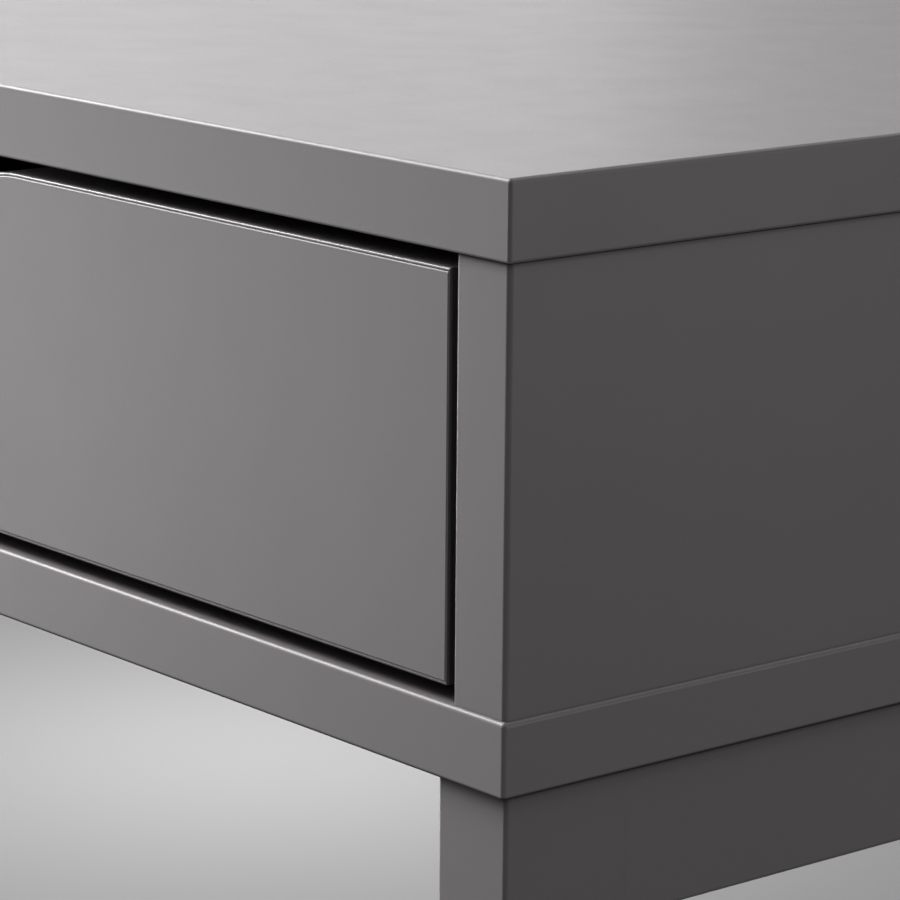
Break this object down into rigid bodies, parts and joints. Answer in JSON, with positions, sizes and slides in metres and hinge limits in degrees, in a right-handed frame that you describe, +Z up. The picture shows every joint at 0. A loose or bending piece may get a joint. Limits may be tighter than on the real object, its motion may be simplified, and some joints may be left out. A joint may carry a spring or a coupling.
{
  "type": "desk",
  "caption": "Writing desk with inset drawers that have scooped finger pulls, an open cable shelf at the back and steel leg frames.",
  "frame": {"origin": "on the floor, under the centre of the desk", "axes": "+X to the sitter's right along the desk, +Y from the sitter to the back, +Z up"},
  "size_m": [1.32, 0.58, 0.76],
  "materials": {
    "grey_lacquer": "particleboard under satin mid-grey lacquer, nearly smooth with a faint orange-peel texture",
    "grey_edging": "satin grey plastic edging, matched to the lacquer",
    "grey_powder_coat": "steel tube under satin mid-grey powder coat",
    "drawer_base_board": "thin hardboard with a printed grey face",
    "beech": "plain turned beech",
    "zinc_plated_steel": "zinc-plated steel",
    "zinc_cam": "die-cast zinc",
    "runner_steel": "rolled steel channel under grey epoxy coat",
    "white_plastic": "natural white moulded plastic",
    "foot_plastic": "dark grey moulded plastic"
  },
  "bodies": {
    "desk": {"bottom_board": "grey_lacquer", "carcass_cam_bolts": "zinc_plated_steel", "carcass_cams": "zinc_cam", "carcass_dowels": "beech", "carcass_screws": "zinc_plated_steel", "centre_divider": "grey_lacquer", "drawer_bay_back": "grey_lacquer", "foot_front_left": "foot_plastic", "foot_front_right": "foot_plastic", "foot_rear_left": "foot_plastic", "foot_rear_right": "foot_plastic", "leg_frame_screws": "zinc_plated_steel", "leg_front_left": "grey_powder_coat", "leg_front_right": "grey_powder_coat", "leg_rail_left": "grey_powder_coat", "leg_rail_plugs": "foot_plastic", "leg_rail_right": "grey_powder_coat", "leg_rear_left": "grey_powder_coat", "leg_rear_right": "grey_powder_coat", "leg_welds_left": "grey_powder_coat", "leg_welds_right": "grey_powder_coat", "rear_cable_rail": "grey_lacquer", "runner_left_inner": "runner_steel", "runner_left_outer": "runner_steel", "runner_right_inner": "runner_steel", "runner_right_outer": "runner_steel", "runner_screws": "zinc_plated_steel", "runner_stops": "white_plastic", "side_panel_left": "grey_lacquer", "side_panel_right": "grey_lacquer", "table_top": "grey_lacquer"},
    "drawer_left": {"drawer_left_back": "grey_lacquer", "drawer_left_back_screws": "zinc_plated_steel", "drawer_left_bottom": "drawer_base_board", "drawer_left_bottom_screws": "zinc_plated_steel", "drawer_left_cam_bolts": "zinc_plated_steel", "drawer_left_cams": "zinc_cam", "drawer_left_front": "grey_lacquer", "drawer_left_front_edging": "grey_edging", "drawer_left_side_left": "grey_lacquer", "drawer_left_side_right": "grey_lacquer", "drawer_left_stops": "white_plastic"},
    "drawer_right": {"drawer_right_back": "grey_lacquer", "drawer_right_back_screws": "zinc_plated_steel", "drawer_right_bottom": "drawer_base_board", "drawer_right_bottom_screws": "zinc_plated_steel", "drawer_right_cam_bolts": "zinc_plated_steel", "drawer_right_cams": "zinc_cam", "drawer_right_front": "grey_lacquer", "drawer_right_front_edging": "grey_edging", "drawer_right_side_left": "grey_lacquer", "drawer_right_side_right": "grey_lacquer", "drawer_right_stops": "white_plastic"}
  },
  "joints": [
    {"name": "drawer_left_slide", "type": "slide", "parent": "desk", "child": "drawer_left", "axis": [0, -1, 0], "range_m": [0, 0.24]},
    {"name": "drawer_right_slide", "type": "slide", "parent": "desk", "child": "drawer_right", "axis": [0, -1, 0], "range_m": [0, 0.24]}
  ]
}
